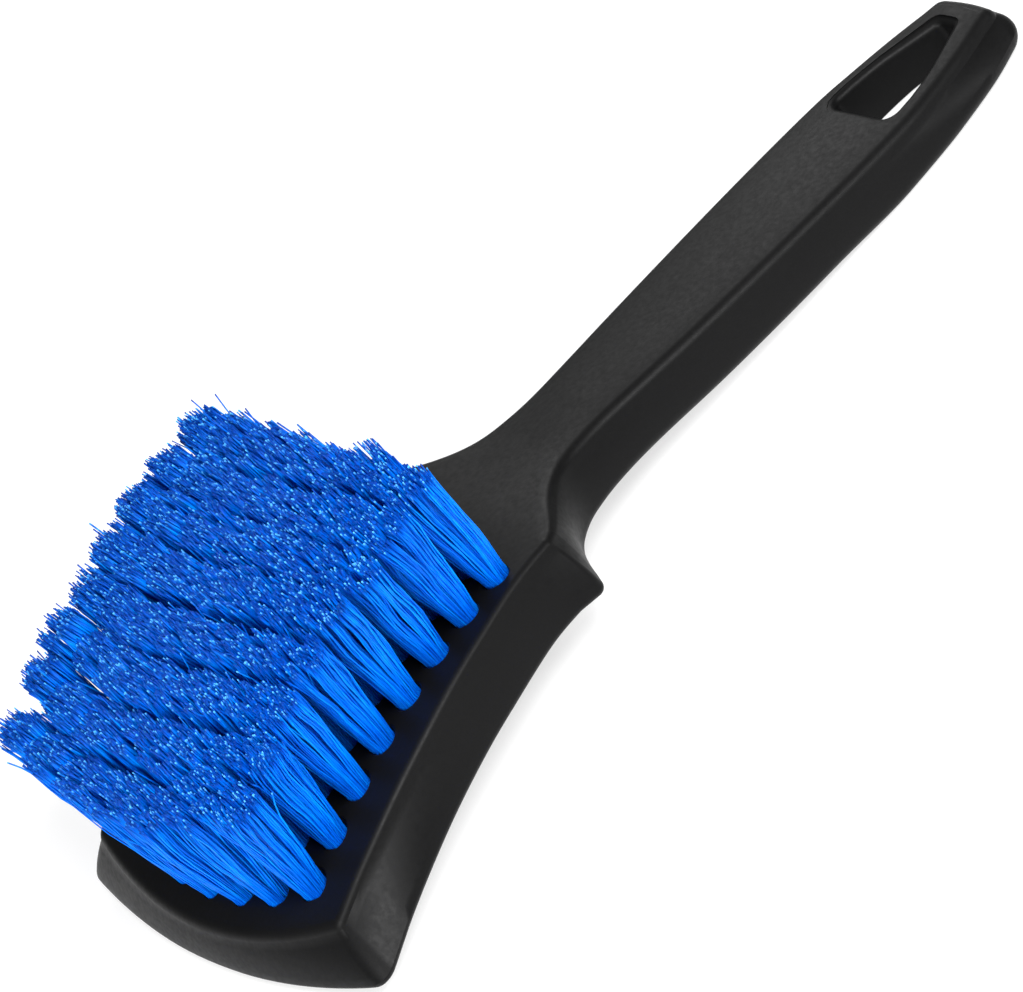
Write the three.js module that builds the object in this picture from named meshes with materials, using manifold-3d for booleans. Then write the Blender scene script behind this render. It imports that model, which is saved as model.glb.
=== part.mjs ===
// Hand wheel brush lying on its back, bristles up.
// A moulded plastic body (arched head, neck, handle with a hanging slot) and separate bristle tufts,
// each seated in its own blind hole. Millimetres. +X runs from the head to the handle's end, +Z is up.
import * as THREE from 'three';
import ManifoldModule from 'manifold-3d';

const FRONT_X = -0.5;             // foremost point of the back edge
const END_X = 236.0;              // rearmost point of the back edge, at the handle's end
const MID_X = (FRONT_X + END_X) / 2;   // the finished brush is centred on X = 0

// Side profile of the body on its centre line, as [distance along the brush, height].
const TOP_PROFILE = [
  [0, 9.6], [15, 16.2], [30, 20.9], [45, 24.0], [60, 25.7], [75, 25.9], [88, 25.0],
  [112, 21.3], [140, 17.9], [175, 14.1], [210, 10.4], [235, 8.2],
];
const BACK_PROFILE = [
  [0, 0], [15, 4.8], [30, 8.2], [45, 10.5], [60, 11.7], [75, 11.8], [88, 11.0],
  [112, 8.6], [140, 5.2], [175, 1.9], [196, 0], [235, 0],
];

// Plan of the body, as [distance along, half width], for its upper edge and its back edge.
const UPPER_PLAN = {
  frontX: 1.4,
  bulge: 8.2,                     // how far the front arc's middle stands ahead of its corners
  cornerR: 2.5,
  side: [[9, 40.1], [23, 40.0], [36, 39.2], [50, 37.6], [65, 35.0], [78, 32.4], [88.6, 30.7]],
  rearCorner: [90.2, 30.6],
  neckAndHandle: [
    [92.6, 28.9], [95, 26.2], [98.4, 21.8], [101, 18.8], [104.2, 16.0], [108, 13.9], [113, 12.8],
    [120, 12.3], [131, 12.9], [145, 13.8], [165, 14.6], [187, 15.0], [203, 14.7], [212, 13.5],
    [222, 11.5], [231, 9.0],
  ],
  end: [235, 8.2],
  endR: 2.8,
};
const BACK_PLAN = {
  frontX: FRONT_X,
  bulge: 7.2,
  cornerR: 4.2,
  side: [
    [7, 49.0], [12, 47.9], [19, 46.3], [27, 44.6], [42, 41.5], [60, 38.2], [78, 34.8], [88.6, 34.2],
  ],
  rearCorner: [90.9, 35.7],
  neckAndHandle: [
    [92.7, 31.4], [94.2, 27.6], [96.6, 22.9], [99.8, 19.2], [104.4, 16.2], [109.3, 14.7],
    [114.6, 13.9], [122, 13.6], [132, 13.9], [145, 14.7], [165, 15.5], [187, 15.9],
    [205, 16.5], [214, 16.2], [224, 15.1], [232, 13.0],
  ],
  end: [END_X, 11.8],
  endR: 6.5,
};
const REAR_CORNER_R = 1.4;
const FRONT_STATIONS = [0, 0.2, 0.4, 0.6, 0.76, 0.88];     // shares of the front arc's half width
const SIDE_STATIONS = [22, 31, 40, 49, 58, 67, 76, 84];    // X along the head's side
const NECK_STEPS = 30;

// Edge roundings, which change from the head's to the handle's between two places along the neck.
const TOP_EDGE_R = { head: 1.6, handle: 2.4, from: 90, to: 112 };
const BACK_EDGE_R = { head: 1.8, handle: 3.2, from: 94, to: 130 };

// Hanging slot in the handle: straight towards the head, narrowing to a round nose at the end.
const SLOT_X0 = 203.2;
const SLOT_X1 = 228.4;
const SLOT_HALF_WIDE = 9.2;
const SLOT_HALF_NOSE = 2.2;
const SLOT_CORNER = 2.4;
const SLOT_RIM = 1.0;             // rounding of both mouths

// Tufts: rows run across the head, columns along it.
const ROWS = 8;
const COLUMNS = 7;
const ROW_ONE_X = 79.6;           // rearmost row at the outer columns
const ROW_PITCH = 9.3;
const OUTER_Y = 25.4;             // outer column at the rearmost row
const OUTER_Y_STEP = 0.47;        // and how much wider each row towards the front is
const ROW_BOW = 5.4;              // how far the front row's middle stands ahead of its ends
const TUFT_LONG = 35.2;           // free length of the rearmost row
const TUFT_STEP = 0.7;            // each row towards the front is this much shorter
const LEAN_REAR = -0.16;          // lean towards the front, radians, rearmost and front rows
const LEAN_FRONT = -0.10;
const LEAN_OUT = 0.24;            // outward lean of the outer columns, radians
const ROOT_R = 2.6;               // tuft radius in its hole
const HOLE_R = 2.92;
const HOLE_DEPTH = 6.6;
const SEAT_GAP = 0.32;
const TIP_GAP = 0.36;             // clear gap between neighbouring tips
const BELLY_AT = 0.42;            // share of the free length where a tuft has spread
const BELLY_SPREAD = 0.62;        // this much of the way to its tip's size
const TUFT_SIDES = 10;

const PLASTIC = { color: 0x1b1c1d, roughness: 0.42, metalness: 0 };
const BRISTLE = { color: 0x0a5fe0, roughness: 0.5, metalness: 0 };

const wasm = await ManifoldModule();
wasm.setup();
const { Manifold, Mesh: ManifoldMesh } = wasm;

// Smooth curve through [x, value] knots (Hermite with limited slopes, so it never overshoots).
function curve(knots) {
  const n = knots.length;
  const secant = knots.slice(1).map(([x, v], i) => (v - knots[i][1]) / (x - knots[i][0]));
  const slope = knots.map((_, i) => {
    if (i === 0) return secant[0];
    if (i === n - 1) return secant[n - 2];
    const [a, b] = [secant[i - 1], secant[i]];
    if (a * b <= 0) return 0;
    return Math.sign(a) * Math.min(Math.abs(a + b) / 2, 3 * Math.abs(a), 3 * Math.abs(b));
  });
  return (x) => {
    if (x <= knots[0][0]) return knots[0][1];
    if (x >= knots[n - 1][0]) return knots[n - 1][1];
    let i = 0;
    while (x > knots[i + 1][0]) i += 1;
    const h = knots[i + 1][0] - knots[i][0];
    const t = (x - knots[i][0]) / h;
    const u = 1 - t;
    return knots[i][1] * u * u * (1 + 2 * t) + knots[i + 1][1] * t * t * (3 - 2 * t)
      + slope[i] * h * t * u * u - slope[i + 1] * h * t * t * u;
  };
}

const topZ = curve(TOP_PROFILE);
const backZ = curve(BACK_PROFILE);
const blend = (x, from, to) => {
  const t = Math.min(1, Math.max(0, (x - from) / (to - from)));
  return t * t * (3 - 2 * t);
};

// Points of a circular corner between two directions leaving the corner point.
function roundCorner(prev, corner, next, radius, steps) {
  const a = new THREE.Vector2().subVectors(prev, corner).normalize();
  const b = new THREE.Vector2().subVectors(next, corner).normalize();
  const half = Math.acos(THREE.MathUtils.clamp(a.dot(b), -1, 1)) / 2;
  const reach = radius / Math.tan(half);
  const centre = a.clone().add(b).normalize().multiplyScalar(radius / Math.sin(half)).add(corner);
  const from = a.multiplyScalar(reach).add(corner).sub(centre);
  const to = b.multiplyScalar(reach).add(corner).sub(centre);
  let turn = to.angle() - from.angle();
  if (turn > Math.PI) turn -= 2 * Math.PI;
  if (turn < -Math.PI) turn += 2 * Math.PI;
  return Array.from({ length: steps + 1 }, (_, i) => from.clone()
    .rotateAround(new THREE.Vector2(), (turn * i) / steps).add(centre));
}

// One half of a plan outline, from the front centre round to the end centre (Y >= 0).
// Both outlines have the same number of points, so the sides run straight between them.
function halfOutline(plan) {
  const v = ([x, y]) => new THREE.Vector2(x, y);
  const side = curve(plan.side);
  const corner = v([plan.frontX + plan.bulge, side(plan.frontX + plan.bulge)]);
  const points = FRONT_STATIONS.map((s) => v([plan.frontX + plan.bulge * s * s, corner.y * s]));
  const flank = SIDE_STATIONS.map((x) => v([x, side(x)]));
  points.push(...roundCorner(points[points.length - 1], corner, flank[0], plan.cornerR, 4), ...flank);
  const run = new THREE.SplineCurve(plan.neckAndHandle.map(v)).getPoints(NECK_STEPS);
  const last = run.pop();
  points.push(...roundCorner(points[points.length - 1], v(plan.rearCorner), run[0], REAR_CORNER_R, 3));
  points.push(...run);
  points.push(...roundCorner(last, v(plan.end), v([plan.end[0], 0]), plan.endR, 5));
  points.push(v([plan.end[0], 0]));
  return points;
}

// The outline moved inwards by a distance that may differ from point to point.
function inset(points, distance) {
  return points.map((p, i) => {
    const a = points[Math.max(0, i - 1)];
    const b = points[Math.min(points.length - 1, i + 1)];
    const t = new THREE.Vector2().subVectors(b, a).normalize();
    const normal = i === 0 ? new THREE.Vector2(1, 0)
      : i === points.length - 1 ? new THREE.Vector2(-1, 0) : new THREE.Vector2(t.y, -t.x);
    return normal.multiplyScalar(distance(p.x)).add(p);
  });
}

// A ring of a rounded edge: turn is 0 where the edge meets its face and a quarter turn at the side.
function edgeRing(edge, rounding, turn, height, sign) {
  const { head, handle, from, to } = rounding;
  const radius = (x) => THREE.MathUtils.lerp(head, handle, blend(x, from, to));
  return inset(edge, (x) => radius(x) * (1 - Math.sin(turn))).map((p, i) => {
    const drop = radius(edge[i].x) * (1 - Math.cos(turn));
    return new THREE.Vector3(p.x, p.y, height(p.x) - sign * drop);
  });
}

// The rings that make the body's skin, from the top face over its edge, down the side and round to the back.
function bodyRings() {
  const upper = halfOutline(UPPER_PLAN);
  const lower = halfOutline(BACK_PLAN);
  const turns = [0, Math.PI / 6, Math.PI / 3, Math.PI / 2];
  return [
    ...turns.map((turn) => edgeRing(upper, TOP_EDGE_R, turn, topZ, 1)),
    ...turns.slice().reverse().map((turn) => edgeRing(lower, BACK_EDGE_R, turn, backZ, -1)),
  ];
}

// Closed solid from half rings, highest first, mirrored in Y and capped across at both ends.
function skin(rings) {
  const n = rings[0].length;
  const loop = 2 * n - 2;
  const positions = [];
  const index = [];
  for (const ring of rings) {
    ring[0].y = 0;
    ring[n - 1].y = 0;
    for (const p of ring) positions.push(p.x, p.y, p.z);
    for (let i = n - 2; i > 0; i -= 1) positions.push(ring[i].x, -ring[i].y, ring[i].z);
  }
  for (let r = 0; r < rings.length - 1; r += 1) {
    for (let i = 0; i < loop; i += 1) {
      const j = (i + 1) % loop;
      const [a, b, c, d] = [r * loop + i, r * loop + j, (r + 1) * loop + i, (r + 1) * loop + j];
      index.push(a, b, c, b, d, c);
    }
  }
  const cap = (base, flip) => {
    for (let i = 0; i < n - 1; i += 1) {
      const [a, b] = [base + i, base + i + 1];
      const [c, d] = [base + ((loop - i) % loop), base + ((loop - i - 1) % loop)];
      const faces = [[a, c, b], [b, c, d]].filter((f) => new Set(f).size === 3);
      for (const f of faces) index.push(...(flip ? [f[0], f[2], f[1]] : f));
    }
  };
  cap(0, false);
  cap((rings.length - 1) * loop, true);
  return toManifold(positions, index);
}

function toManifold(positions, index) {
  const mesh = new ManifoldMesh({
    numProp: 3,
    vertProperties: new Float32Array(positions),
    triVerts: new Uint32Array(index),
  });
  mesh.merge();
  return new Manifold(mesh);
}

function toGeometry(solid) {
  const mesh = solid.getMesh();
  const geometry = new THREE.BufferGeometry();
  geometry.setAttribute('position', new THREE.BufferAttribute(Float32Array.from(mesh.vertProperties), 3));
  geometry.setIndex(new THREE.BufferAttribute(Uint32Array.from(mesh.triVerts), 1));
  return geometry;
}

// Half plan of the hanging slot, made wider all round by grow.
function slotHalf(grow) {
  const v = (x, y) => new THREE.Vector2(x, y);
  const [x0, x1] = [SLOT_X0 - grow, SLOT_X1 + grow];
  const [wide, nose] = [SLOT_HALF_WIDE + grow, SLOT_HALF_NOSE + grow];
  const waist = v(SLOT_X0 + 6, wide - 0.6);
  const taper = v(SLOT_X0 + 14.5, 6.6 + grow);
  return [
    v(x0, 0),
    ...roundCorner(v(x0, 0), v(x0, wide), waist, SLOT_CORNER + grow, 3),
    waist,
    taper,
    ...roundCorner(taper, v(x1, nose), v(x1, 0), (SLOT_HALF_NOSE + grow) * 0.7, 3),
    v(x1, 0),
  ];
}

// The slot as a solid to cut away: straight walls with both mouths rounded outwards.
function slotCutter() {
  const levels = [
    [1.1, () => -3], [1.1, () => -0.06], [0.3, () => 0.3], [0, () => SLOT_RIM],
    [0, (x) => topZ(x) - SLOT_RIM], [0.3, (x) => topZ(x) - 0.3], [1.1, (x) => topZ(x) + 0.06],
    [1.1, (x) => topZ(x) + 3],
  ];
  const rings = levels.map(([grow, height]) => slotHalf(grow * SLOT_RIM)
    .map((p) => new THREE.Vector3(p.x, p.y, height(p.x))));
  return skin(rings.reverse());
}

// Where each tuft stands: point on the top face, unit axis, free length and half sizes of its tip.
function tuftSpots() {
  const spots = [];
  const at = (row, column) => {
    const side = column / ((COLUMNS - 1) / 2) - 1;
    const y = side * (OUTER_Y + OUTER_Y_STEP * row);
    const x = ROW_ONE_X - ROW_PITCH * row - ROW_BOW * (row / (ROWS - 1)) * (1 - side * side);
    const lean = THREE.MathUtils.lerp(LEAN_REAR, LEAN_FRONT, row / (ROWS - 1));
    const out = side * LEAN_OUT;
    const flat = Math.cos(out);
    const axis = new THREE.Vector3(Math.sin(lean) * flat, Math.sin(out), Math.cos(lean) * flat);
    const length = TUFT_LONG - TUFT_STEP * row;
    const base = new THREE.Vector3(x, y, topZ(x));
    return { row, column, base, axis, length, tip: base.clone().addScaledVector(axis, length) };
  };
  for (let row = 0; row < ROWS; row += 1) {
    for (let column = 0; column < COLUMNS; column += 1) {
      const spot = at(row, column);
      const ahead = at(row + (row < ROWS - 1 ? 1 : -1), column);
      const beside = at(row, column + (column < COLUMNS - 1 ? 1 : -1));
      spot.halfX = (Math.abs(ahead.tip.x - spot.tip.x) - TIP_GAP) / 2;
      spot.halfY = (Math.abs(beside.tip.y - spot.tip.y) - TIP_GAP) / 2;
      spots.push(spot);
    }
  }
  return spots;
}

// A closed solid swept along the tuft's axis, through rings given as
// [distance from the top face, half size along the brush, half size across it, squareness].
function sweep(spot, rings, sides) {
  const side = new THREE.Vector3(0, 1, 0);
  const ahead = new THREE.Vector3().crossVectors(side, spot.axis).normalize();
  const across = new THREE.Vector3().crossVectors(spot.axis, ahead).normalize();
  const positions = [];
  const index = [];
  for (const [along, halfX, halfY, square] of rings) {
    const centre = spot.base.clone().addScaledVector(spot.axis, along);
    for (let k = 0; k < sides; k += 1) {
      const angle = ((k + 0.5) / sides) * 2 * Math.PI;
      const [c, s] = [Math.cos(angle), Math.sin(angle)];
      const power = 2 + 2.5 * square;
      const reach = (Math.abs(c) ** power + Math.abs(s) ** power) ** (-1 / power);
      const p = centre.clone()
        .addScaledVector(ahead, halfX * reach * c)
        .addScaledVector(across, halfY * reach * s);
      positions.push(p.x, p.y, p.z);
    }
  }
  const last = (rings.length - 1) * sides;
  for (let r = 0; r < rings.length - 1; r += 1) {
    for (let k = 0; k < sides; k += 1) {
      const j = (k + 1) % sides;
      const [a, b, c, d] = [r * sides + k, r * sides + j, (r + 1) * sides + k, (r + 1) * sides + j];
      index.push(a, b, c, b, d, c);
    }
  }
  for (let k = 1; k < sides - 1; k += 1) {
    index.push(0, k + 1, k);
    index.push(last, last + k, last + k + 1);
  }
  return toManifold(positions, index);
}

const tuftHole = (spot) => sweep(
  spot,
  [[-HOLE_DEPTH, HOLE_R, HOLE_R, 0], [3, HOLE_R, HOLE_R, 0]],
  TUFT_SIDES,
);

function tuftSolid(spot) {
  const belly = (tipSize) => THREE.MathUtils.lerp(ROOT_R, tipSize, BELLY_SPREAD);
  return sweep(spot, [
    [-HOLE_DEPTH + SEAT_GAP, ROOT_R, ROOT_R, 0],
    [1.6, ROOT_R, ROOT_R, 0],
    [spot.length * BELLY_AT, belly(spot.halfX), belly(spot.halfY), 0.4],
    [spot.length, spot.halfX, spot.halfY, 1],
  ], TUFT_SIDES);
}

function named(name, solid, look) {
  const mesh = new THREE.Mesh(toGeometry(solid), new THREE.MeshStandardMaterial(look));
  mesh.name = name;
  return mesh;
}

function brushBody(spots) {
  const cutters = [slotCutter(), ...spots.map(tuftHole)];
  return named('brush_body', skin(bodyRings()).subtract(Manifold.union(cutters)), PLASTIC);
}

const spots = tuftSpots();
const group = new THREE.Group();
group.name = 'wheel_brush';
group.add(brushBody(spots));
for (const spot of spots) {
  group.add(named(`tuft_r${spot.row + 1}_c${spot.column + 1}`, tuftSolid(spot), BRISTLE));
}
for (const mesh of group.children) mesh.geometry.translate(-MID_X, 0, 0);

export default group;
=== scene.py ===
import math

import bmesh
import bpy
import numpy as np
from mathutils import Matrix, Vector


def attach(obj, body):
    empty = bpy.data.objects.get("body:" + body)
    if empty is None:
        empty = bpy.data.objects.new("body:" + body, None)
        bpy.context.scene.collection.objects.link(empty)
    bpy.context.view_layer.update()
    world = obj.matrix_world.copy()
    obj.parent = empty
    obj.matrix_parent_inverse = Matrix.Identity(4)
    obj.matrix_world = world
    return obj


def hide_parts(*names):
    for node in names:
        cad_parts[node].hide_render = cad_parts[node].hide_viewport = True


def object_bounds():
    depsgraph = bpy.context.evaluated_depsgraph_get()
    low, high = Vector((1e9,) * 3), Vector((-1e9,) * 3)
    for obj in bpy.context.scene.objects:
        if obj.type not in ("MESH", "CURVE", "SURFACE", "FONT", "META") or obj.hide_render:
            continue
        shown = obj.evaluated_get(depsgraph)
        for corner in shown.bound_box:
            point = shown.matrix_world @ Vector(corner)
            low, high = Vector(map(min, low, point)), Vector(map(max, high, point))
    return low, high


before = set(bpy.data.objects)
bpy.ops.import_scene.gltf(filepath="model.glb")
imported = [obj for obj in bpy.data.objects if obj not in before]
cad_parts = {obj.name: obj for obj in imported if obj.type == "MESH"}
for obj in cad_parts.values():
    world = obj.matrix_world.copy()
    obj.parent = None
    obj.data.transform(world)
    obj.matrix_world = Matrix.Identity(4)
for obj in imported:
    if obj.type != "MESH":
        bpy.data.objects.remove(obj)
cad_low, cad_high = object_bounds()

MM = 0.001
SEED = 808

# ---------------------------------------------------------------- body dimensions, in millimetres
# These are part.mjs's own outlines. X starts near the middle of the front edge, and MID_X of it lies
# on the part's X = 0.
MID_X = 117.75
TOP_PROFILE = [
    (0, 9.6), (15, 16.2), (30, 20.9), (45, 24.0), (60, 25.7), (75, 25.9), (88, 25.0),
    (112, 21.3), (140, 17.9), (175, 14.1), (210, 10.4), (235, 8.2),
]
BACK_PROFILE = [
    (0, 0), (15, 4.8), (30, 8.2), (45, 10.5), (60, 11.7), (75, 11.8), (88, 11.0),
    (112, 8.6), (140, 5.2), (175, 1.9), (196, 0), (235, 0),
]
UPPER_PLAN = {
    "front": 1.4, "bulge": 8.2, "corner_r": 2.5,
    "side": [(9, 40.1), (23, 40.0), (36, 39.2), (50, 37.6), (65, 35.0), (78, 32.4), (88.6, 30.7)],
    "rear_corner": (90.2, 30.6),
    "neck_and_handle": [
        (92.6, 28.9), (95, 26.2), (98.4, 21.8), (101, 18.8), (104.2, 16.0), (108, 13.9), (113, 12.8),
        (120, 12.3), (131, 12.9), (145, 13.8), (165, 14.6), (187, 15.0), (203, 14.7), (212, 13.5),
        (222, 11.5), (231, 9.0),
    ],
    "end": (235, 8.2), "end_r": 2.8,
}
BACK_PLAN = {
    "front": -0.5, "bulge": 7.2, "corner_r": 4.2,
    "side": [
        (7, 49.0), (12, 47.9), (19, 46.3), (27, 44.6), (42, 41.5), (60, 38.2), (78, 34.8), (88.6, 34.2),
    ],
    "rear_corner": (90.9, 35.7),
    "neck_and_handle": [
        (92.7, 31.4), (94.2, 27.6), (96.6, 22.9), (99.8, 19.2), (104.4, 16.2), (109.3, 14.7),
        (114.6, 13.9), (122, 13.6), (132, 13.9), (145, 14.7), (165, 15.5), (187, 15.9), (205, 16.5),
        (214, 16.2), (224, 15.1), (232, 13.0),
    ],
    "end": (236, 11.8), "end_r": 6.5,
}
REAR_CORNER_R = 2.0
END_BULGE = 0.5                 # how far the end face would bow out over its full width
END_SHARES = (0.6, 0.3, 0)      # points across half the end face, as shares of its half width
FRONT_TURN = math.radians(62)   # the front arc's points crowd towards its corner by a sine up to here
FRONT_POINTS = 16
FLANK_X = (18, 85)              # the head's side between its corners
FLANK_POINTS = 36
NECK_STEPS = 96
CORNER_STEPS = 8
REAR_CORNER_STEPS = 6

# Sizes that change from the head's to the handle's between two places along the neck.
TOP_EDGE = {"head": 1.6, "handle": 2.4, "from": 90, "to": 112}
BACK_EDGE = {"head": 1.8, "handle": 3.2, "from": 94, "to": 130}
SIDE_SWELL = {"head": 0.35, "handle": 0.4, "from": 90, "to": 112}
TOP_CROWN = {"head": 0.0, "handle": 0.55, "from": 96, "to": 125}
EDGE_STEPS = 7
SIDE_ROWS = 6
CAP_COLUMNS = 18
SHARP_ANGLE = math.radians(38)

SLOT_X0 = 203.2
SLOT_X1 = 228.4
SLOT_HALF_WIDE = 9.2
SLOT_HALF_NOSE = 2.2
SLOT_CORNER = 2.4
SLOT_WAIST = (6, 0.6)           # along from the flat wall, and this much narrower than the wide end
SLOT_TAPER = (14.5, 6.6)        # along from the flat wall, and the half width there
SLOT_BOW = (0.15, 0.12)         # how far the slot's side bows out between those two
SLOT_CORNER_STEPS = 7
SLOT_SIDE_STEPS = 10
SLOT_NOSE_SHARE = 0.7           # the nose's corners are rounded by this share of its half width
SLOT_NOSE_BOW = 0.05
SLOT_RIM = 1.4
SLOT_BACK_RIM = 0.5
RIM_STEPS = 6
RIM_SPILL = 1.1                 # outside the body the cutter is this many rims wider
CUT_OVER = 3.0                  # and stands out of it this far
CUT_SKIN = 0.06                 # it reaches that width just off the body's faces
HOLE_R = 2.92
HOLE_DEPTH = 6.6
HOLE_RIM = 0.3                  # depth of the chamfer at its mouth
HOLE_OVER = 2.5                 # a hole's cutter stands out of the body this far
HOLE_SIDES = 28
SEAT_GAP = 0.32                 # between a CAD tuft and its hole's bottom
SMALLEST_EDGE = 0.002 * MM      # shorter ones left by a cut are dissolved

# ---------------------------------------------------------------- bristles, in metres
STRANDS = 330                   # filaments showing in one tuft, both legs of each folded one
STRAND_R = 0.152 * MM
STRAND_R_SPREAD = (0.85, 1.15)
STRAND_SIDES = 4
STRAND_RINGS = 12
ROOT_SPREAD = 2.6 * MM
ANCHOR_GAP = 0.34 * MM          # the filaments pass on both sides of the anchor
PART_KEEPS = 2.5 * MM           # up to here from the hole's bottom the gap is open
PART_ENDS = 7.4 * MM            # and here it has closed
ROW_SHARE = 1.04                # of the room along the brush, which leaves valleys between rows
COLUMN_SHARE = 1.12             # of the room across the brush, where tufts run together
ROOM_SPREAD = (0.89, 1.10)      # the room that one tuft takes, as shares of the usual
CLUMPS = 13
CLUMP_PULL = (0.05, 0.45)       # how far a clump's tips are drawn to its middle
TIP_POWER = 2.8                 # 2 would make the tip round, more makes it squarer
TIP_JITTER = 0.34 * MM
TUFT_DRIFT = 0.50 * MM          # how far a whole tuft leans off its place
FLARE = 1.75                    # above 1, a tuft spreads faster near its hole than at its tip
TUFT_LENGTH = (-0.2 * MM, 0.45 * MM)    # mean and spread of a tuft's length, past its CAD solid's
LENGTH_DOME = 0.8 * MM          # the filaments on a row's two sides end this much lower
LENGTH_JITTER = 0.48 * MM
LONG_SHARE = 0.02               # of the filaments stand out above the trimmed ones
LONG_EXTRA = (0.6 * MM, 2.6 * MM)
CLUMP_SWING = 0.42 * MM         # a slow wave that a clump's filaments share
CLUMP_SWING_SPREAD = (0.4, 1.2)
CLUMP_TURNS = 7.5               # radians of it over the free length
OWN_SWING = 0.11 * MM           # a quicker one of each filament's own
OWN_TURNS = 17
STRAY_SHARE = 0.03
STRAY_DRIFT = 1.5 * MM

# A filament's strip of the map: where its sides, its cut end and its root start, and how tall they are.
SIDES_V = (0.05, 0.85)
CUT_END_V = (0.93, 0.06)
ROOT_V = (0.01, 0.02)
END_ROOM = (0.1, 0.9)           # the part of the strip's width that the two ends take

# The flat wire staple at the bottom of a hole: half sizes across the tuft, along it and through it.
ANCHOR_LONG = 2.5 * MM
ANCHOR_HIGH = 0.9 * MM
ANCHOR_THICK = 0.22 * MM
ANCHOR_CORNER = 0.35 * MM
ANCHOR_CORNER_STEPS = 4
ANCHOR_LIFT = 1.5 * MM          # its middle above the tuft's root

# ---------------------------------------------------------------- camera and studio, metres and degrees
AIM = Vector((-0.0239, -0.0199, 0.030))
VIEW_AZIMUTH = -19.35
VIEW_ELEVATION = 32.08
VIEW_ROLL = 40.12
VIEW_DISTANCE = 1.4512
VIEW_CLIP = (0.05, 50)
LENS = 281.9                    # and the sensor's width, in millimetres
SENSOR = 36.0

# Soft boxes that face AIM: azimuth, elevation, distance, width and height, and watts.
LAMPS = {
    "side": (0, 46, 1.6, (0.7, 0.5), 30),
    "flank": (32, 34, 1.6, (0.5, 0.6), 12),
    "front": (-55, 24, 1.6, (0.8, 0.6), 24),
    "overhead": (60, 82, 1.9, (1.4, 1.4), 5),
    "back": (139, 26, 1.6, (0.6, 0.3), 4.6),
}
WORLD_STRENGTH = 0.17
FLOOR_HALF = 8
FLOOR_DROP = 0.2 * MM           # the floor lies this far under the brush
FLOOR_GLOW = 0.70               # keeps it as pale as the photograph's background


# ---------------------------------------------------------------- outlines
def curve(knots):
    """Smooth curve through (x, value) knots, with slopes limited so that it never overshoots."""
    xs, vs = (np.array(c, float) for c in zip(*knots))
    secant = np.diff(vs) / np.diff(xs)
    slope = np.empty(len(xs))
    slope[0], slope[-1] = secant[0], secant[-1]
    before, after = secant[:-1], secant[1:]
    limited = np.minimum(np.abs(before + after) / 2, 3 * np.minimum(np.abs(before), np.abs(after)))
    slope[1:-1] = np.where(before * after > 0, np.sign(before) * limited, 0)

    def at(x):
        x = np.clip(np.asarray(x, float), xs[0], xs[-1])
        i = np.clip(np.searchsorted(xs, x, side="right") - 1, 0, len(xs) - 2)
        h = xs[i + 1] - xs[i]
        t = (x - xs[i]) / h
        u = 1 - t
        return (
            vs[i] * u * u * (1 + 2 * t) + vs[i + 1] * t * t * (3 - 2 * t)
            + slope[i] * h * t * u * u - slope[i + 1] * h * t * t * u
        )

    return at


top_z = curve(TOP_PROFILE)
back_z = curve(BACK_PROFILE)


def along(change, x):
    """A size that changes from the head's to the handle's between two places along the neck."""
    t = np.clip((np.asarray(x, float) - change["from"]) / (change["to"] - change["from"]), 0, 1)
    return change["head"] + (change["handle"] - change["head"]) * t * t * (3 - 2 * t)


def round_corner(before, corner, after, radius, steps):
    """Points of a circular corner at `corner`, on the way from `before` to `after`."""
    corner = np.array(corner, float)
    a = np.array(before, float) - corner
    b = np.array(after, float) - corner
    a /= np.linalg.norm(a)
    b /= np.linalg.norm(b)
    half = math.acos(np.clip(a @ b, -1, 1)) / 2
    middle = (a + b) / np.linalg.norm(a + b)
    centre = corner + middle * radius / math.sin(half)
    start = corner + a * radius / math.tan(half) - centre
    end = corner + b * radius / math.tan(half) - centre
    turn = math.atan2(start[0] * end[1] - start[1] * end[0], start @ end)

    def at(t):
        x = start[0] * math.cos(t) - start[1] * math.sin(t)
        y = start[0] * math.sin(t) + start[1] * math.cos(t)
        return centre + (x, y)

    return [at(turn * i / steps) for i in range(steps + 1)]


def spline(points, steps):
    """Evenly stepped points on a smooth curve through the given points."""
    p = np.array(points, float)
    p = np.vstack([p[0], p, p[-1]])
    found = []
    for t in np.linspace(0, len(points) - 1, steps + 1):
        i = min(int(t), len(points) - 2)
        w = t - i
        a, b, c, d = p[i : i + 4]
        found.append(
            b + 0.5 * w * (c - a + w * (2 * a - 5 * b + 4 * c - d + w * (3 * (b - c) + d - a)))
        )
    return found


def half_outline(plan):
    """Half of a plan outline from the front centre to the end centre. Both plans give as many points."""
    side = curve(plan["side"])
    corner_x = plan["front"] + plan["bulge"]
    corner = (corner_x, float(side(corner_x)))
    shares = np.sin(np.linspace(0, FRONT_TURN, FRONT_POINTS))
    points = [np.array((plan["front"] + plan["bulge"] * s * s, corner[1] * s)) for s in shares]
    flank = [np.array((x, float(side(x)))) for x in np.linspace(*FLANK_X, FLANK_POINTS)]
    points += round_corner(points[-1], corner, flank[0], plan["corner_r"], CORNER_STEPS) + flank
    run = spline(plan["neck_and_handle"], NECK_STEPS)
    last = run.pop()
    rear = plan["rear_corner"]
    points += round_corner(points[-1], rear, run[0], REAR_CORNER_R, REAR_CORNER_STEPS) + run
    end_x, end_y = plan["end"]
    points += round_corner(last, plan["end"], (end_x, 0), plan["end_r"], CORNER_STEPS)
    reach = points[-1][1]
    for s in END_SHARES:
        points.append(np.array((end_x + END_BULGE * (1 - s * s) * reach / end_y, reach * s)))
    return np.array(points)


def normals(points):
    """Inward unit normals of a half outline in plan."""
    tangent = np.gradient(points, axis=0)
    tangent /= np.linalg.norm(tangent, axis=1, keepdims=True)
    inward = np.stack([tangent[:, 1], -tangent[:, 0]], axis=1)
    inward[0], inward[-1] = (1, 0), (-1, 0)
    return inward


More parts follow.
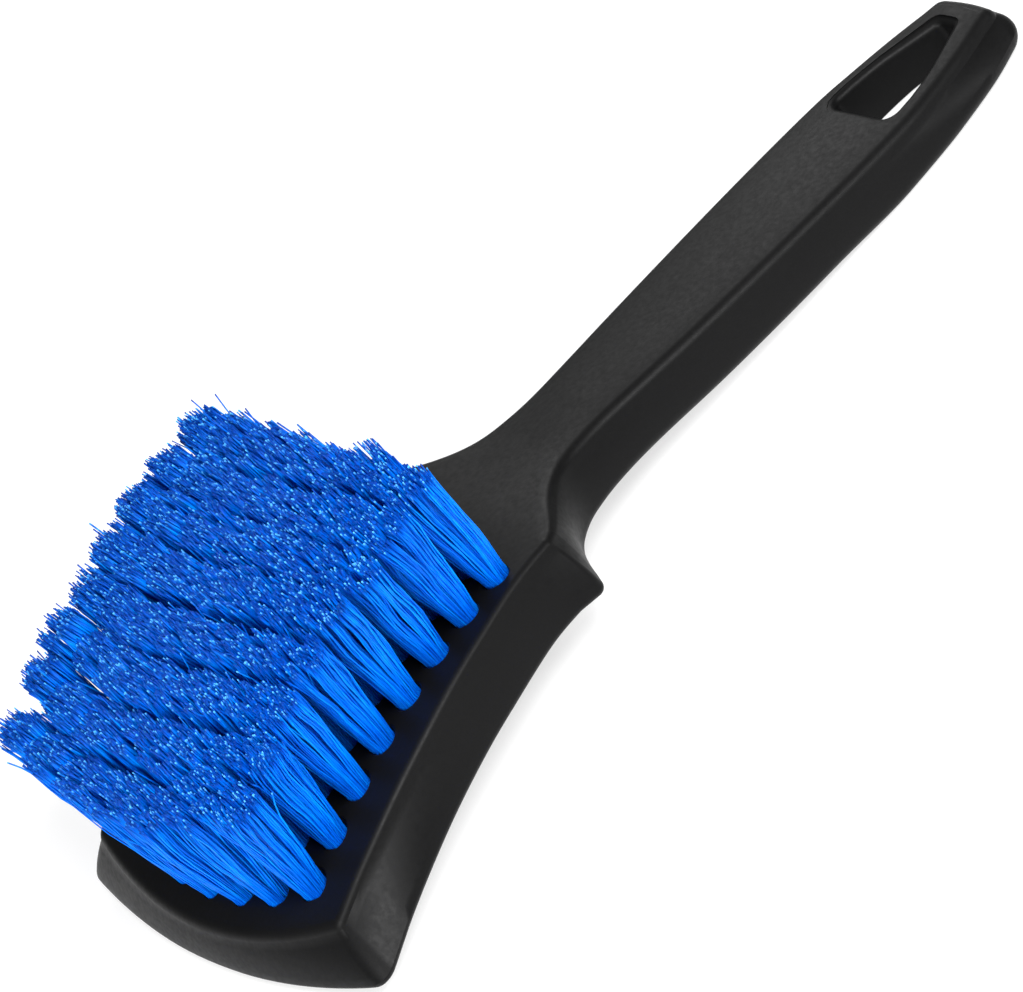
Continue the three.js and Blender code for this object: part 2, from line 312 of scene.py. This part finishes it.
# ---------------------------------------------------------------- meshes
def scene_object(name, data):
    thing = bpy.data.objects.new(name, data)
    bpy.context.scene.collection.objects.link(thing)
    return thing


def mesh_object(name, points, faces):
    mesh = bpy.data.meshes.new(name)
    mesh.from_pydata([tuple(p) for p in points], [], faces)
    mesh.update()
    return scene_object(name, mesh)


def prism_faces(base, count, levels):
    """Faces of a closed prism whose `levels` rings of `count` points follow one another from `base`."""
    last = base + (levels - 1) * count
    faces = [tuple(base + k for k in range(count))[::-1], tuple(last + k for k in range(count))]
    for row in range(base, last, count):
        for k in range(count):
            j = (k + 1) % count
            faces.append((row + k, row + j, row + count + j, row + count + k))
    return faces


def loft(name, rings, crown=None, columns=CAP_COLUMNS):
    """Closed mesh from half rings of points, highest first, mirrored in Y, with a grid over each end."""
    count = len(rings[0])
    loop = 2 * count - 2
    points, faces = [], []
    for ring in rings:
        points += [tuple(p) for p in ring]
        points += [(x, -y, z) for x, y, z in ring[count - 2 : 0 : -1]]
    for r in range(len(rings) - 1):
        for i in range(loop):
            j = (i + 1) % loop
            faces.append((r * loop + i, r * loop + j, (r + 1) * loop + j, (r + 1) * loop + i))

    def cap(base, top):
        rows = [[base] * (columns + 1)]
        for i in range(1, count - 1):
            x, y, z = points[base + i]
            row = [base + i]
            for k in range(1, columns):
                c = 1 - 2 * k / columns
                lift = crown(x) * (1 - c * c) if crown and top else 0
                row.append(len(points))
                points.append((x, y * c, z + lift))
            rows.append(row + [base + loop - i])
        rows.append([base + count - 1] * (columns + 1))
        for a, b in zip(rows, rows[1:]):
            for k in range(columns):
                face = list(dict.fromkeys((a[k], b[k], b[k + 1], a[k + 1])))
                faces.append(tuple(face[::-1] if top else face))

    cap(0, True)
    cap((len(rings) - 1) * loop, False)
    return mesh_object(name, points, faces)


def in_place(rings):
    """Rings moved from the outlines' own place and millimetres to the part's frame."""
    return [r * MM - (MID_X * MM, 0, 0) for r in rings]


def body_rings():
    """Half rings of the body's skin, from the top face over its edge and down the side to the back."""
    upper, lower = half_outline(UPPER_PLAN), half_outline(BACK_PLAN)
    turns = np.linspace(0, math.pi / 2, EDGE_STEPS)

    def edge(outline, rounding, turn, height, sign):
        radius = along(rounding, outline[:, 0])[:, None]
        plan = outline + normals(outline) * radius * (1 - math.sin(turn))
        plan[0, 1] = plan[-1, 1] = 0
        z = height(plan[:, 0])[:, None] - sign * radius * (1 - math.cos(turn))
        return np.hstack([plan, z])

    top = [edge(upper, TOP_EDGE, t, top_z, 1) for t in turns]
    back = [edge(lower, BACK_EDGE, t, back_z, -1) for t in turns[::-1]]
    outward = -np.hstack([normals(upper), np.zeros((len(upper), 1))])
    swell = along(SIDE_SWELL, upper[:, 0])[:, None]
    sides = []
    for k in range(1, SIDE_ROWS):
        t = k / SIDE_ROWS
        ring = top[-1] * (1 - t) + back[0] * t + outward * swell * 4 * t * (1 - t)
        ring[0, 1] = ring[-1, 1] = 0
        sides.append(ring)
    return top + sides + back


def slot_half(grow):
    """Half plan of the hanging slot, made wider all round by `grow`."""
    x0, x1 = SLOT_X0 - grow, SLOT_X1 + grow
    wide, nose = SLOT_HALF_WIDE + grow, SLOT_HALF_NOSE + grow
    waist = np.array((SLOT_X0 + SLOT_WAIST[0], wide - SLOT_WAIST[1]))
    taper = np.array((SLOT_X0 + SLOT_TAPER[0], SLOT_TAPER[1] + grow))
    wall = [np.array((x0, 0.0))]
    wall += round_corner((x0, 0), (x0, wide), waist, SLOT_CORNER + grow, SLOT_CORNER_STEPS)
    flank = spline([waist, (waist + taper) / 2 + SLOT_BOW, taper], SLOT_SIDE_STEPS)
    end = round_corner(taper, (x1, nose), (x1, 0), nose * SLOT_NOSE_SHARE, SLOT_CORNER_STEPS)
    return np.array(wall + flank + end + [np.array((x1 + SLOT_NOSE_BOW, 0.0))])


def slot_cutter():
    """The slot as a solid, with both of its mouths rounded outwards."""
    turns = np.linspace(0, math.pi / 2, RIM_STEPS)
    mouth = [(1 - math.sin(t), 1 - math.cos(t)) for t in turns[1:]]
    top = [(SLOT_RIM * RIM_SPILL, CUT_OVER), (SLOT_RIM * RIM_SPILL, CUT_SKIN)]
    top += [(g * SLOT_RIM, -d * SLOT_RIM) for g, d in mouth]
    back = [(g * SLOT_BACK_RIM, d * SLOT_BACK_RIM) for g, d in mouth[::-1]]
    back += [(SLOT_BACK_RIM * RIM_SPILL, -CUT_SKIN), (SLOT_BACK_RIM * RIM_SPILL, -CUT_OVER)]
    rings = []
    for grow, height in top:
        plan = slot_half(grow)
        rings.append(np.hstack([plan, (top_z(plan[:, 0]) + height)[:, None]]))
    for grow, height in back:
        plan = slot_half(grow)
        rings.append(np.hstack([plan, np.full((len(plan), 1), height)]))
    return loft("slot_cutter", in_place(rings), columns=2)


def hole_cutter(tufts):
    """All the blind holes as one mesh, each with its mouth broken by a small chamfer."""
    mouth_r = HOLE_R + 2 * HOLE_RIM
    stations = [(-HOLE_DEPTH, HOLE_R), (-HOLE_RIM, HOLE_R), (HOLE_RIM, mouth_r), (HOLE_OVER, mouth_r)]
    points, faces = [], []
    for tuft in tufts:
        faces += prism_faces(len(points), HOLE_SIDES, len(stations))
        for height, radius in stations:
            for k in range(HOLE_SIDES):
                a = 2 * math.pi * k / HOLE_SIDES
                side = tuft["ahead"] * math.cos(a) + tuft["across"] * math.sin(a)
                points.append(tuft["mouth"] + (tuft["axis"] * height + side * radius) * MM)
    return mesh_object("hole_cutter", points, faces)


def cut(thing, cutter):
    """Take the cutter's solid away from a mesh, and remove the cutter."""
    modifier = thing.modifiers.new("cut", "BOOLEAN")
    modifier.operation, modifier.solver, modifier.object = "DIFFERENCE", "MANIFOLD", cutter
    apply_modifiers(thing)
    bpy.data.objects.remove(cutter)


def apply_modifiers(thing):
    """Put the modifiers' result into the mesh, without the smallest edges that a cut leaves."""
    evaluated = thing.evaluated_get(bpy.context.evaluated_depsgraph_get())
    made = bpy.data.meshes.new_from_object(evaluated)
    thing.modifiers.clear()
    thing.data = made
    work = bmesh.new()
    work.from_mesh(made)
    bmesh.ops.dissolve_degenerate(work, dist=SMALLEST_EDGE, edges=work.edges)
    work.to_mesh(made)
    work.free()


def make_body(tufts, material):
    """The moulded body, with the hanging slot and the blind holes cut into it."""
    def crown(x):
        return float(along(TOP_CROWN, x / MM + MID_X)) * MM

    body = loft("brush_body_shell", in_place(body_rings()), crown)
    cut(body, slot_cutter())
    cut(body, hole_cutter(tufts))
    body.data.materials.clear()
    body.data.materials.append(material)
    body.data.shade_smooth()
    body.data.set_sharp_from_angle(angle=SHARP_ANGLE)
    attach(body, "root")
    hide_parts("brush_body")


# ---------------------------------------------------------------- tufts
def read_tuft(node):
    """Where a tuft stands, from the four rings of its CAD solid: root, hole's mouth, axis and tip."""
    points = np.unique(np.round([v.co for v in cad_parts[node].data.vertices], 6), axis=0)
    points = points[np.argsort(points[:, 2])]
    ring = len(points) // 4
    root, tip = points[:ring].mean(0), points[-ring:].mean(0)
    axis = (tip - root) / np.linalg.norm(tip - root)
    ahead = np.cross((0, 1, 0), axis)
    ahead /= np.linalg.norm(ahead)
    across = np.cross(axis, ahead)
    spread = points[-ring:] - tip
    return {
        "node": node, "root": root, "axis": axis, "ahead": ahead, "across": across,
        "mouth": root + axis * (HOLE_DEPTH - SEAT_GAP) * MM,
        "length": float(np.linalg.norm(tip - root)),
        "half": (float(np.abs(spread @ ahead).max()), float(np.abs(spread @ across).max())),
    }


def strand_layout(tuft, rng):
    """For each filament: root offset, parting at the anchor, tip offset, clump, and place in the tuft."""
    k = np.arange(STRANDS)
    reach = np.sqrt((k + 0.5) / STRANDS)
    angle = k * math.pi * (3 - math.sqrt(5)) + rng.uniform(0, 2 * math.pi)
    unit = np.stack([np.cos(angle), np.sin(angle)], axis=1)
    root = unit * reach[:, None] * ROOT_SPREAD
    part = np.sign(root[:, 0]) * ANCHOR_GAP * (1 - np.abs(root[:, 0]) / ROOT_SPREAD)
    square = (np.abs(unit) ** TIP_POWER).sum(1) ** (-1 / TIP_POWER)
    room = np.array((tuft["half"][0] * ROW_SHARE, tuft["half"][1] * COLUMN_SHARE))
    room *= rng.uniform(*ROOM_SPREAD, 2)
    tip = unit * (reach * square)[:, None] * room + rng.normal(0, TIP_JITTER, (STRANDS, 2))
    place = tip / room
    centres = tip[rng.choice(STRANDS, CLUMPS, replace=False)]
    clump = np.linalg.norm(tip[:, None] - centres[None], axis=2).argmin(1)
    tip += (centres[clump] - tip) * rng.uniform(*CLUMP_PULL, CLUMPS)[clump][:, None]
    tip += rng.normal(0, TUFT_DRIFT, 2)
    return root, part, tip, clump, place


def strand_lengths(tuft, place, rng):
    """Lengths from root to tip: a tuft's own, less on a row's two sides, with a few filaments long."""
    length = tuft["length"] + rng.normal(*TUFT_LENGTH)
    length = length - LENGTH_DOME * place[:, 0] ** 2 + rng.normal(0, LENGTH_JITTER, STRANDS)
    long = rng.random(STRANDS) < LONG_SHARE
    return length + np.where(long, rng.uniform(*LONG_EXTRA, STRANDS), 0)


def strand_waves(free, clump, rng):
    """Sideways waves and strays, which grow with `free`: 0 in the hole and 1 at the tip."""
    clump_wave = rng.uniform(0, 2 * math.pi, (CLUMPS, 2))[clump][:, None]
    own_wave = rng.uniform(0, 2 * math.pi, (STRANDS, 2))[:, None]
    swing = CLUMP_SWING * rng.uniform(*CLUMP_SWING_SPREAD, (CLUMPS, 2))[clump][:, None]
    stray = rng.random(STRANDS) < STRAY_SHARE
    drift = np.where(stray[:, None], rng.normal(0, STRAY_DRIFT, (STRANDS, 2)), 0)
    return (
        free * swing * np.sin(CLUMP_TURNS * free + clump_wave)
        + np.sqrt(free) * OWN_SWING * np.sin(OWN_TURNS * free + own_wave)
        + drift[:, None] * free**3
    )


def strand_paths(tuft, rng):
    """Centre lines of the filaments, (strand, ring, xyz)."""
    root, part, tip, clump, place = strand_layout(tuft, rng)
    length = strand_lengths(tuft, place, rng)
    share = np.linspace(0, 1, STRAND_RINGS)
    reach = (share * tuft["length"])[None, :, None]
    depth = HOLE_DEPTH * MM
    free = np.clip((reach - depth) / (tuft["length"] - depth), 0, 1)
    flare = 1 - (1 - free) ** FLARE
    side = root[:, None] * (1 - flare) + tip[:, None] * flare
    parted = np.clip((PART_ENDS - reach[..., 0]) / (PART_ENDS - PART_KEEPS), 0, 1)
    side[..., 0] += part[:, None] * parted
    side += strand_waves(free, clump, rng)
    up = share * length[:, None]
    return (
        tuft["root"] + up[..., None] * tuft["axis"]
        + side[..., 0:1] * tuft["ahead"] + side[..., 1:2] * tuft["across"]
    )


def strand_mesh(name, paths, tuft, rng):
    """One mesh of all the tuft's filaments: square tubes, all quads, with a flat face at each end."""
    strands, rings = paths.shape[:2]
    sides = STRAND_SIDES
    each = rings * sides
    turn = rng.uniform(0, 2 * math.pi, (strands, 1, 1)) + np.arange(sides) * 2 * math.pi / sides
    thick = STRAND_R * rng.uniform(*STRAND_R_SPREAD, (strands, 1, 1, 1))
    around = np.cos(turn)[..., None] * tuft["ahead"] + np.sin(turn)[..., None] * tuft["across"]
    points = (paths[:, :, None] + around * thick).reshape(-1, 3)
    row = np.arange(strands)[:, None, None] * each + np.arange(rings - 1)[None, :, None] * sides
    k = np.arange(sides)[None, None]
    j = (k + 1) % sides
    quads = np.stack([row + k, row + j, row + sides + j, row + sides + k], axis=-1).reshape(-1, 4)
    start = np.arange(strands)[:, None] * each
    ends = start + each - sides + np.arange(sides)
    roots = start + np.arange(sides)[::-1]
    faces = np.concatenate([quads, ends, roots])
    mesh = bpy.data.meshes.new(name)
    mesh.vertices.add(len(points))
    mesh.vertices.foreach_set("co", points.astype(np.float32).ravel())
    mesh.loops.add(faces.size)
    mesh.loops.foreach_set("vertex_index", faces.astype(np.int32).ravel())
    mesh.polygons.add(len(faces))
    mesh.polygons.foreach_set("loop_start", np.arange(0, faces.size, 4, dtype=np.int32))
    mesh.update(calc_edges=True)
    strand_values(mesh, strands, rings, rng)
    strand_map(mesh, strands, rings)
    mesh.polygons.foreach_set("use_smooth", np.arange(len(faces)) < len(quads))
    return scene_object(name, mesh)


def strand_values(mesh, strands, rings, rng):
    """Each filament's own tone, and how far along it a point is."""
    each = rings * STRAND_SIDES
    values = {
        "tone": np.repeat(rng.random(strands), each),
        "along": np.tile(np.repeat(np.linspace(0, 1, rings), STRAND_SIDES), strands),
    }
    for name, numbers in values.items():
        mesh.attributes.new(name, "FLOAT", "POINT").data.foreach_set("value", numbers.astype(np.float32))


def strand_map(mesh, strands, rings):
    """The map, in the order of the faces: every filament's sides, then the cut ends, then the roots."""
    strip = np.arange(strands)[:, None, None, None]
    k = np.arange(STRAND_SIDES)[None, None, :, None]
    r = np.arange(rings - 1)[None, :, None, None]
    u = (strip + (k + np.array([0, 1, 1, 0])) / STRAND_SIDES) / strands
    v = SIDES_V[0] + SIDES_V[1] * (r + np.array([0, 0, 1, 1])) / (rings - 1)
    blocks = [(u, v)]
    low, high = END_ROOM
    end_u = (np.arange(strands)[:, None] + np.array([low, high, high, low])) / strands
    for start, tall in (CUT_END_V, ROOT_V):
        blocks.append((end_u, start + tall * np.array([0, 0, 1, 1])))
    uv = [np.stack(np.broadcast_arrays(*block), axis=-1).reshape(-1, 2) for block in blocks]
    layer = mesh.uv_layers.new(name="OFBake")
    layer.data.foreach_set("uv", np.concatenate(uv).astype(np.float32).ravel())


def make_tuft(tuft, number, material):
    """A CAD tuft's filaments as one piece that stands for it. Each tuft has its own seed."""
    rng = np.random.default_rng(SEED + number)
    name = tuft["node"].replace("tuft", "bristles")
    thing = strand_mesh(name, strand_paths(tuft, rng), tuft, rng)
    thing.data.materials.append(material)
    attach(thing, "root")
    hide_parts(tuft["node"])


def make_anchors(tufts, material):
    """The flat wire staples that hold the folded tufts at the bottom of their holes."""
    outline = []
    for sy, sz, start in ((1, 1, 0), (-1, 1, 90), (-1, -1, 180), (1, -1, 270)):
        for step in range(ANCHOR_CORNER_STEPS + 1):
            a = math.radians(start + step * 90 / ANCHOR_CORNER_STEPS)
            y = sy * (ANCHOR_LONG - ANCHOR_CORNER) + ANCHOR_CORNER * math.cos(a)
            z = sz * (ANCHOR_HIGH - ANCHOR_CORNER) + ANCHOR_CORNER * math.sin(a)
            outline.append((y, z))
    points, faces = [], []
    for tuft in tufts:
        faces += prism_faces(len(points), len(outline), 2)
        centre = tuft["root"] + tuft["axis"] * ANCHOR_LIFT
        for side in (-1, 1):
            face = centre + tuft["ahead"] * side * ANCHOR_THICK
            points += [face + tuft["across"] * y + tuft["axis"] * z for y, z in outline]
    anchors = mesh_object("tuft_anchors", points, faces)
    anchors.data.materials.append(material)
    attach(anchors, "root")


# ---------------------------------------------------------------- materials
# A noise's scale is in features to the metre, so 1000 makes them about a millimetre across.
class Nodes:
    """A material's node tree with short ways to add and join nodes."""

    def __init__(self, name):
        self.material = bpy.data.materials.new(name)
        self.material.use_nodes = True
        self.tree = self.material.node_tree
        self.shader = self.tree.nodes["Principled BSDF"]

    def add(self, kind, links=(), **values):
        node = self.tree.nodes.new(kind)
        for key, value in values.items():
            setattr(node, key, value)
        for name, source in dict(links).items():
            self.set(node, name, source)
        return node

    def set(self, node, name, source):
        socket = node.inputs[name]
        if isinstance(source, bpy.types.NodeSocket):
            self.tree.links.new(source, socket)
        else:
            socket.default_value = source

    def noise(self, scale, detail=3.0, rough=0.55, stretch=(1, 1, 1)):
        place = self.add("ShaderNodeTexCoord").outputs["Object"]
        moved = self.add("ShaderNodeMapping", {"Vector": place, "Scale": stretch}).outputs["Vector"]
        settings = {"Vector": moved, "Scale": scale, "Detail": detail, "Roughness": rough}
        return self.add("ShaderNodeTexNoise", settings).outputs["Fac"]

    def span(self, value, low, high, start=0.0, stop=1.0):
        settings = {"Value": value, "From Min": start, "From Max": stop, "To Min": low, "To Max": high}
        return self.add("ShaderNodeMapRange", settings).outputs["Result"]

    def ramp(self, value, stops):
        node = self.add("ShaderNodeValToRGB", {"Fac": value})
        elements = node.color_ramp.elements
        while len(elements) < len(stops):
            elements.new(0.5)
        for element, (place, colour) in zip(elements, stops):
            element.position = place
            element.color = (*colour, 1)
        return node.outputs["Color"]

    def mix(self, kind, factor, a, b):
        node = self.add("ShaderNodeMix", data_type="RGBA", blend_type=kind)
        for index, value in ((0, factor), (6, a), (7, b)):      # the factor and the two colours
            if isinstance(value, bpy.types.NodeSocket):
                self.tree.links.new(value, node.inputs[index])
            else:
                node.inputs[index].default_value = value
        return node.outputs[2]

    def bump(self, layers):
        """Bump from (height, strength, distance) layers, one on another."""
        normal = None
        for height, strength, distance in layers:
            links = {"Height": height, "Strength": strength, "Distance": distance}
            if normal is not None:
                links["Normal"] = normal
            normal = self.add("ShaderNodeBump", links).outputs["Normal"]
        self.set(self.shader, "Normal", normal)


def plastic_material():
    """Moulded polypropylene: charcoal black, with a fine satin grain and faint flow marks along it."""
    m = Nodes("moulded_plastic")
    flow = m.noise(26, detail=4, stretch=(0.35, 1.4, 1.4))
    grain = m.noise(3200, detail=2)
    pores = m.noise(900, detail=3)
    colour = m.ramp(flow, [(0.3, (0.0028, 0.0028, 0.0029)), (0.7, (0.0042, 0.0042, 0.0043))])
    speck = m.ramp(grain, [(0.35, (0.86, 0.86, 0.86)), (0.65, (1.1, 1.1, 1.1))])
    m.set(m.shader, "Base Color", m.mix("MULTIPLY", 1.0, colour, speck))
    rough = m.add("ShaderNodeMath", operation="ADD")
    m.tree.links.new(m.span(pores, 0.40, 0.50, 0.3, 0.7), rough.inputs[0])
    m.tree.links.new(m.span(flow, -0.03, 0.03, 0.3, 0.7), rough.inputs[1])
    m.set(m.shader, "Roughness", rough.outputs[0])
    m.bump([(pores, 0.10, 0.12 * MM), (grain, 0.16, 0.03 * MM)])
    m.shader.inputs["IOR"].default_value = 1.49
    m.shader.inputs["Specular IOR Level"].default_value = 0.115
    return m.material


def bristle_material():
    """Blue filament with its own tone, with painted shade deep in the hole and towards the tip, and a
    painted glint on some cut ends.
    """
    m = Nodes("bristle_filament")
    along_it = m.add("ShaderNodeAttribute", attribute_name="along").outputs["Fac"]
    tone = m.add("ShaderNodeAttribute", attribute_name="tone").outputs["Fac"]
    streak = m.noise(420, detail=3)
    # Painted shade: the blue is darker down in the hole and towards the tips, where neighbouring
    # filaments shade them.
    length = m.ramp(along_it, [
        (0.0, (0.0, 0.06, 0.50)), (0.16, (0.0, 0.14, 0.80)), (0.5, (0.0, 0.20, 0.93)),
        (0.92, (0.0, 0.175, 0.83)), (0.97, (0.0, 0.09, 0.53)), (1.0, (0.0, 0.05, 0.36)),
    ])
    # Painted glint on the cut ends of a few filaments, and painted shade on the cut ends of the rest.
    pale = m.ramp(tone, [(0.75, (0.0, 0.04, 0.27)), (0.90, (0.09, 0.30, 0.88))])
    cut_end = m.span(along_it, 0, 1, 0.985, 1.0)       # the end face and a last bit of the side
    length = m.mix("MIX", cut_end, length, pale)
    own = m.ramp(tone, [(0.0, (0.62, 0.72, 0.84)), (0.5, (0.95, 0.98, 1.0)), (1.0, (1.0, 1.45, 1.06))])
    patch = m.ramp(streak, [(0.3, (0.8, 0.84, 0.92)), (0.7, (1.0, 1.12, 1.04))])
    colour = m.mix("MULTIPLY", 1.0, m.mix("MULTIPLY", 1.0, length, own), patch)
    m.set(m.shader, "Base Color", colour)
    m.set(m.shader, "Roughness", m.span(streak, 0.30, 0.46, 0.3, 0.7))
    m.bump([(m.noise(2600, detail=2), 0.25, 0.03 * MM)])
    m.shader.inputs["IOR"].default_value = 1.5
    m.shader.inputs["Specular IOR Level"].default_value = 0.07
    return m.material


def wire_material():
    """Drawn steel wire with fine scratches."""
    m = Nodes("anchor_wire")
    drawn = m.noise(1500, detail=3, stretch=(1, 0.1, 1))
    m.set(m.shader, "Base Color", m.ramp(drawn, [(0.3, (0.36, 0.36, 0.37)), (0.7, (0.60, 0.60, 0.61))]))
    m.set(m.shader, "Roughness", m.span(drawn, 0.25, 0.42))
    m.bump([(drawn, 0.2, 0.02 * MM)])
    m.shader.inputs["Metallic"].default_value = 1.0
    return m.material


def floor_material():
    """Pale and matt, and bright enough of itself that only soft shadows show on it."""
    m = Nodes("studio_floor")
    soft = m.noise(3, detail=2)
    m.set(m.shader, "Base Color", m.ramp(soft, [(0.3, (0.33, 0.33, 0.33)), (0.7, (0.35, 0.35, 0.35))]))
    m.set(m.shader, "Roughness", m.span(soft, 0.85, 0.95))
    m.shader.inputs["Specular IOR Level"].default_value = 0.0
    m.shader.inputs["Emission Color"].default_value = (1, 1, 1, 1)
    m.shader.inputs["Emission Strength"].default_value = FLOOR_GLOW
    return m.material


# ---------------------------------------------------------------- studio
def direction(azimuth, elevation):
    """Unit vector from the object towards a viewer or lamp there."""
    a, e = math.radians(azimuth), math.radians(elevation)
    return Vector((math.sin(a) * math.cos(e), -math.cos(a) * math.cos(e), math.sin(e)))


def make_camera():
    """The photograph's view: a long lens from the front of the head, rolled."""
    data = bpy.data.cameras.new("camera")
    data.lens, data.sensor_width = LENS, SENSOR
    data.clip_start, data.clip_end = VIEW_CLIP
    camera = scene_object("camera", data)
    back = direction(VIEW_AZIMUTH, VIEW_ELEVATION)
    upright = (-back).to_track_quat("-Z", "Y").to_matrix().to_4x4()
    roll = Matrix.Rotation(-math.radians(VIEW_ROLL), 4, "Z")
    camera.matrix_world = Matrix.Translation(AIM + back * VIEW_DISTANCE) @ upright @ roll
    bpy.context.scene.camera = camera


def lamp(name, azimuth, elevation, distance, size, power):
    """A soft box that faces AIM."""
    data = bpy.data.lights.new(name, "AREA")
    data.shape, data.size, data.size_y, data.energy = "RECTANGLE", size[0], size[1], power
    thing = scene_object(name, data)
    towards = direction(azimuth, elevation)
    thing.location = AIM + towards * distance
    thing.rotation_mode = "QUATERNION"
    thing.rotation_quaternion = (-towards).to_track_quat("-Z", "Y")


def make_floor():
    h = FLOOR_HALF
    floor = mesh_object("floor", [(-h, -h, 0), (h, -h, 0), (h, h, 0), (-h, h, 0)], [(0, 1, 2, 3)])
    floor.location.z = cad_low.z - FLOOR_DROP
    floor.data.materials.append(floor_material())


def make_studio():
    """White surroundings, the soft boxes and the floor."""
    world = bpy.data.worlds.new("studio")
    world.use_nodes = True
    background = world.node_tree.nodes["Background"]
    background.inputs["Color"].default_value = (1, 1, 1, 1)
    background.inputs["Strength"].default_value = WORLD_STRENGTH
    bpy.context.scene.world = world
    bpy.context.scene.view_settings.view_transform = "Standard"
    for name, settings in LAMPS.items():
        lamp(name, *settings)
    make_floor()


make_camera()
tufts = [read_tuft(node) for node in sorted(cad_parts) if node.startswith("tuft_")]
make_body(tufts, plastic_material())
bristle = bristle_material()
for number, tuft in enumerate(tufts):
    make_tuft(tuft, number, bristle)
make_anchors(tufts, wire_material())
make_studio()
